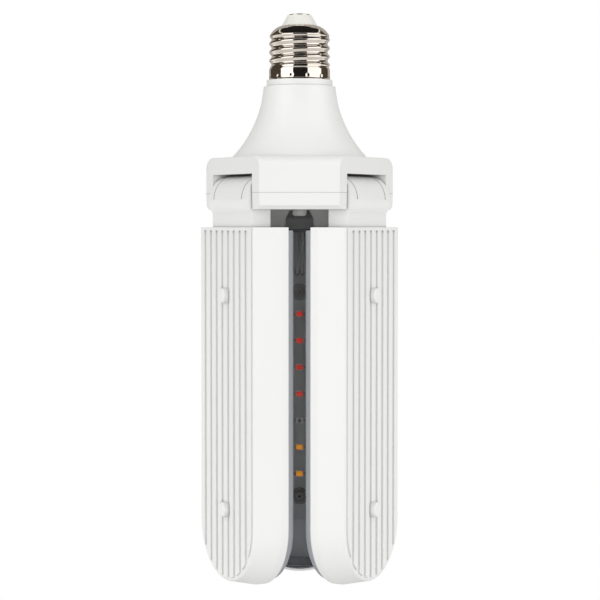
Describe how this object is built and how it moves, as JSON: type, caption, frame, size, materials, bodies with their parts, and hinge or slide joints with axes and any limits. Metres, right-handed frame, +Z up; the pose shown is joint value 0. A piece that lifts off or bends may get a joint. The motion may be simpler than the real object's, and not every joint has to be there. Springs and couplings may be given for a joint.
{
  "type": "folding leaf grow light bulb",
  "caption": "Screw-cap grow lamp with a white bell-shaped driver housing and long hinged leaves that carry lamp boards behind clear covers, folded shut.",
  "frame": {"origin": "on the lamp's axis, halfway up the screw cap's plain skirt", "axes": "+Z up the axis out of the cap's contact end, +Y towards the back leaf, -Y towards the hub corner that faces the camera, +X to the camera's right"},
  "size_m": [0.0852, 0.077, 0.245],
  "materials": {
    "cap_nickel": "bright nickel plate",
    "cap_glass": "white glazed",
    "contact_metal": "tinned",
    "white_housing": "satin moulded",
    "white_leaf": "satin moulded",
    "screw_steel": "zinc plated",
    "pin_steel": "drawn",
    "driver_laminate": "glass laminate",
    "capacitor_sleeve": "heat-shrink sleeve",
    "ferrite": "fired",
    "coil_tape": "tape wound",
    "film_box": "moulded",
    "lead_red": "wire sheath",
    "lead_black": "wire sheath",
    "lead_white": "wire sheath",
    "clear_cover": "clear polycarbonate",
    "board_face": "solder-resist coated",
    "led_body": "moulded",
    "led_red": "resin",
    "led_phosphor": "phosphor resin",
    "led_clear": "clear resin",
    "boot_rubber": "matt"
  },
  "bodies": {
    "driver_unit": {"screw_shell": "cap_nickel", "cap_insulator": "cap_glass", "centre_contact": "contact_metal", "driver_housing": "white_housing", "hub_cover": "white_housing", "cover_screws": "screw_steel", "hinge_pins": "pin_steel", "driver_board": "driver_laminate", "bulk_capacitor": "capacitor_sleeve", "choke": "ferrite", "transformer": "coil_tape", "film_capacitor": "film_box", "live_lead": "lead_red", "neutral_lead": "lead_black", "leaf_feed_leads": "lead_white"},
    "back_leaf": {"back_leaf_housing": "white_leaf", "back_leaf_cover": "clear_cover", "back_led_board": "board_face", "back_led_packages": "led_body", "back_led_windows_red": "led_red", "back_led_windows_white": "led_phosphor", "back_led_windows_clear": "led_clear", "back_board_screws": "screw_steel", "back_wire_boot": "boot_rubber", "back_leaf_leads": "lead_white"},
    "left_leaf": {"left_leaf_housing": "white_leaf", "left_leaf_cover": "clear_cover", "left_led_board": "board_face", "left_led_packages": "led_body", "left_led_windows_red": "led_red", "left_led_windows_white": "led_phosphor", "left_led_windows_clear": "led_clear", "left_board_screws": "screw_steel", "left_wire_boot": "boot_rubber", "left_leaf_leads": "lead_white"},
    "right_leaf": {"right_leaf_housing": "white_leaf", "right_leaf_cover": "clear_cover", "right_led_board": "board_face", "right_led_packages": "led_body", "right_led_windows_red": "led_red", "right_led_windows_white": "led_phosphor", "right_led_windows_clear": "led_clear", "right_board_screws": "screw_steel", "right_wire_boot": "boot_rubber", "right_leaf_leads": "lead_white"}
  },
  "joints": [
    {"name": "back_leaf_hinge", "type": "hinge", "parent": "driver_unit", "child": "back_leaf", "pos_m": [0, 0.025, -0.0544], "axis": [1, 0, 0], "range_deg": [0, 90]},
    {"name": "left_leaf_hinge", "type": "hinge", "parent": "driver_unit", "child": "left_leaf", "pos_m": [-0.02165, -0.0125, -0.0544], "axis": [-0.5, 0.866, 0], "range_deg": [0, 90]},
    {"name": "right_leaf_hinge", "type": "hinge", "parent": "driver_unit", "child": "right_leaf", "pos_m": [0.02165, -0.0125, -0.0544], "axis": [-0.5, -0.866, 0], "range_deg": [0, 90]}
  ]
}
